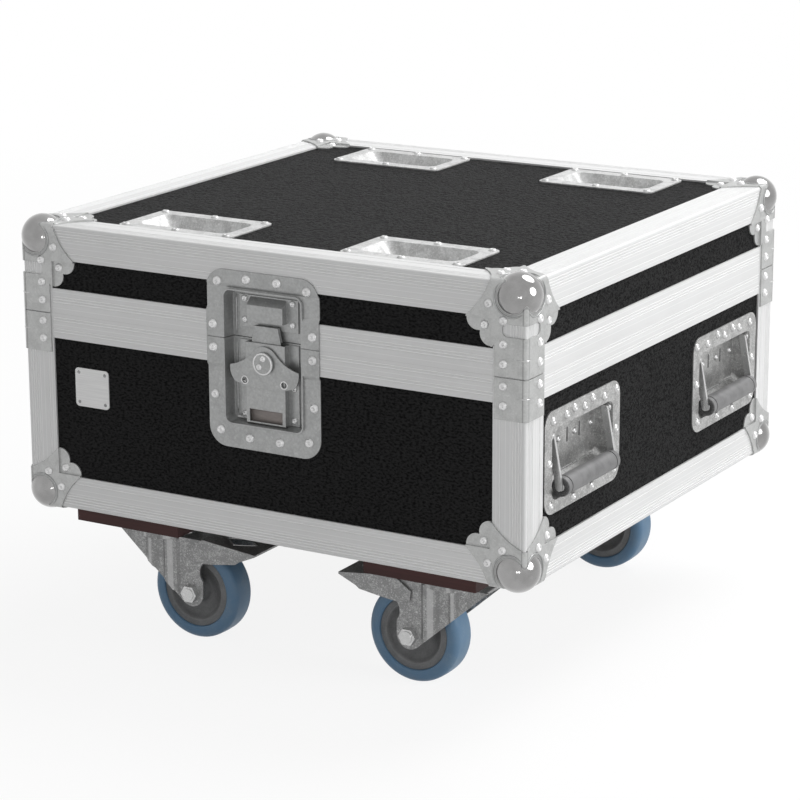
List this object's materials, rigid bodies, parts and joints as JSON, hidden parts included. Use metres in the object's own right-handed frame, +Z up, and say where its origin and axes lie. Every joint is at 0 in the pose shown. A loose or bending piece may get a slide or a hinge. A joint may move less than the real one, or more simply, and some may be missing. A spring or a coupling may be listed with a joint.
{
  "type": "wheeled flight case",
  "caption": "Black aluminium-edged flight case with a shallow hinged lid, butterfly latch, spring handles, stacking cups and braked swivel castors.",
  "frame": {"origin": "on the floor, midway between the sides and between the front and back of the whole case", "axes": "+Z up, +X to the right seen from the front, front with the latch facing -Y"},
  "size_m": [0.5862, 0.5665, 0.431],
  "materials": {
    "black_panel": "black textured laminate on plywood",
    "floor_ply": "dark laminated plywood",
    "aluminium_edging": "satin extruded aluminium",
    "zinc_plate": "zinc-plated pressed steel",
    "stained_ply": "red-brown stained plywood",
    "grey_hub": "mid-grey moulded nylon",
    "blue_tyre": "satin blue elastic rubber",
    "grip_rubber": "dark-grey rubber sleeve"
  },
  "bodies": {
    "case_base": {"base_front_panel": "black_panel", "base_back_panel": "black_panel", "base_side_panels": "black_panel", "base_floor_panel": "floor_ply", "base_bottom_edging": "aluminium_edging", "base_corner_edging": "aluminium_edging", "base_closure": "aluminium_edging", "base_ball_corners": "zinc_plate", "base_corner_braces": "zinc_plate", "latch_base_dish": "zinc_plate", "latch_mechanism": "zinc_plate", "name_plate": "zinc_plate", "handle_dishes": "zinc_plate", "castor_boards": "stained_ply", "castor_plates": "zinc_plate", "castor_bolts": "zinc_plate", "hinge_base_leaves": "zinc_plate", "hinge_pins": "zinc_plate"},
    "case_lid": {"hinge_lid_leaves": "zinc_plate", "latch_keeper": "zinc_plate", "latch_lid_dish": "zinc_plate", "lid_back_panel": "black_panel", "lid_ball_corners": "zinc_plate", "lid_closure": "aluminium_edging", "lid_corner_edging": "aluminium_edging", "lid_front_panel": "black_panel", "lid_side_panels": "black_panel", "lid_top_edging": "aluminium_edging", "lid_top_panel": "black_panel", "stacking_cups": "zinc_plate"},
    "wing": {"latch_wing": "zinc_plate"},
    "hook": {"latch_hook": "zinc_plate"},
    "bail_front_left": {"handle_bail_front_left": "zinc_plate", "handle_grip_front_left": "grip_rubber"},
    "fork_front_left": {"castor_axle_front_left": "zinc_plate", "castor_fork_front_left": "zinc_plate"},
    "wheel_front_left": {"castor_hub_front_left": "grey_hub", "castor_tyre_front_left": "blue_tyre"},
    "pedal_front_left": {"castor_pedal_front_left": "zinc_plate"},
    "bail_front_right": {"handle_bail_front_right": "zinc_plate", "handle_grip_front_right": "grip_rubber"},
    "fork_front_right": {"castor_axle_front_right": "zinc_plate", "castor_fork_front_right": "zinc_plate"},
    "wheel_front_right": {"castor_hub_front_right": "grey_hub", "castor_tyre_front_right": "blue_tyre"},
    "pedal_front_right": {"castor_pedal_front_right": "zinc_plate"},
    "bail_rear_left": {"handle_bail_rear_left": "zinc_plate", "handle_grip_rear_left": "grip_rubber"},
    "fork_rear_left": {"castor_axle_rear_left": "zinc_plate", "castor_fork_rear_left": "zinc_plate"},
    "wheel_rear_left": {"castor_hub_rear_left": "grey_hub", "castor_tyre_rear_left": "blue_tyre"},
    "pedal_rear_left": {"castor_pedal_rear_left": "zinc_plate"},
    "bail_rear_right": {"handle_bail_rear_right": "zinc_plate", "handle_grip_rear_right": "grip_rubber"},
    "fork_rear_right": {"castor_axle_rear_right": "zinc_plate", "castor_fork_rear_right": "zinc_plate"},
    "wheel_rear_right": {"castor_hub_rear_right": "grey_hub", "castor_tyre_rear_right": "blue_tyre"},
    "pedal_rear_right": {"castor_pedal_rear_right": "zinc_plate"}
  },
  "joints": [
    {"name": "lid_hinge", "type": "hinge", "parent": "case_base", "child": "case_lid", "pos_m": [0, 0.28, 0.336], "axis": [-1, 0, 0], "range_deg": [0, 105]},
    {"name": "wing_turn", "type": "hinge", "parent": "case_base", "child": "wing", "pos_m": [0, -0.274, 0.3155], "axis": [0, 1, 0], "range_deg": [0, 180]},
    {"name": "hook_slide", "type": "slide", "parent": "case_base", "child": "hook", "axis": [0, 0, 1], "range_m": [0, 0.0081]},
    {"name": "bail_swing_front_left", "type": "hinge", "parent": "case_base", "child": "bail_front_left", "pos_m": [-0.2745, -0.16, 0.269], "axis": [0, 1, 0], "range_deg": [0, 80], "stiffness_Nm_per_rad": 0.25, "springref_deg": -8.59},
    {"name": "castor_swivel_front_left", "type": "hinge", "parent": "case_base", "child": "fork_front_left", "pos_m": [-0.1665, -0.199, 0.118], "axis": [0, 0, 1], "continuous": true},
    {"name": "wheel_spin_front_left", "type": "hinge", "parent": "fork_front_left", "child": "wheel_front_left", "pos_m": [-0.1265, -0.199, 0.05], "axis": [0, 1, 0], "continuous": true},
    {"name": "pedal_tilt_front_left", "type": "hinge", "parent": "fork_front_left", "child": "pedal_front_left", "pos_m": [-0.1205, -0.199, 0.092], "axis": [0, 1, 0], "range_deg": [0, 8]},
    {"name": "bail_swing_front_right", "type": "hinge", "parent": "case_base", "child": "bail_front_right", "pos_m": [0.2745, -0.16, 0.269], "axis": [0, -1, 0], "range_deg": [0, 80], "stiffness_Nm_per_rad": 0.25, "springref_deg": -8.59},
    {"name": "castor_swivel_front_right", "type": "hinge", "parent": "case_base", "child": "fork_front_right", "pos_m": [0.1665, -0.199, 0.118], "axis": [0, 0, 1], "continuous": true},
    {"name": "wheel_spin_front_right", "type": "hinge", "parent": "fork_front_right", "child": "wheel_front_right", "pos_m": [0.1265, -0.199, 0.05], "axis": [0, 1, 0], "continuous": true},
    {"name": "pedal_tilt_front_right", "type": "hinge", "parent": "fork_front_right", "child": "pedal_front_right", "pos_m": [0.1205, -0.199, 0.092], "axis": [0, -1, 0], "range_deg": [0, 8]},
    {"name": "bail_swing_rear_left", "type": "hinge", "parent": "case_base", "child": "bail_rear_left", "pos_m": [-0.2745, 0.16, 0.269], "axis": [0, 1, 0], "range_deg": [0, 80], "stiffness_Nm_per_rad": 0.25, "springref_deg": -8.59},
    {"name": "castor_swivel_rear_left", "type": "hinge", "parent": "case_base", "child": "fork_rear_left", "pos_m": [-0.1665, 0.199, 0.118], "axis": [0, 0, 1], "continuous": true},
    {"name": "wheel_spin_rear_left", "type": "hinge", "parent": "fork_rear_left", "child": "wheel_rear_left", "pos_m": [-0.1265, 0.199, 0.05], "axis": [0, 1, 0], "continuous": true},
    {"name": "pedal_tilt_rear_left", "type": "hinge", "parent": "fork_rear_left", "child": "pedal_rear_left", "pos_m": [-0.1205, 0.199, 0.092], "axis": [0, 1, 0], "range_deg": [0, 8]},
    {"name": "bail_swing_rear_right", "type": "hinge", "parent": "case_base", "child": "bail_rear_right", "pos_m": [0.2745, 0.16, 0.269], "axis": [0, -1, 0], "range_deg": [0, 80], "stiffness_Nm_per_rad": 0.25, "springref_deg": -8.59},
    {"name": "castor_swivel_rear_right", "type": "hinge", "parent": "case_base", "child": "fork_rear_right", "pos_m": [0.1665, 0.199, 0.118], "axis": [0, 0, 1], "continuous": true},
    {"name": "wheel_spin_rear_right", "type": "hinge", "parent": "fork_rear_right", "child": "wheel_rear_right", "pos_m": [0.1265, 0.199, 0.05], "axis": [0, 1, 0], "continuous": true},
    {"name": "pedal_tilt_rear_right", "type": "hinge", "parent": "fork_rear_right", "child": "pedal_rear_right", "pos_m": [0.1205, 0.199, 0.092], "axis": [0, -1, 0], "range_deg": [0, 8]}
  ],
  "couplings": [
    {"joint": "hook_slide", "follows": "wing_turn", "m_per_rad": 0.0025465}
  ]
}
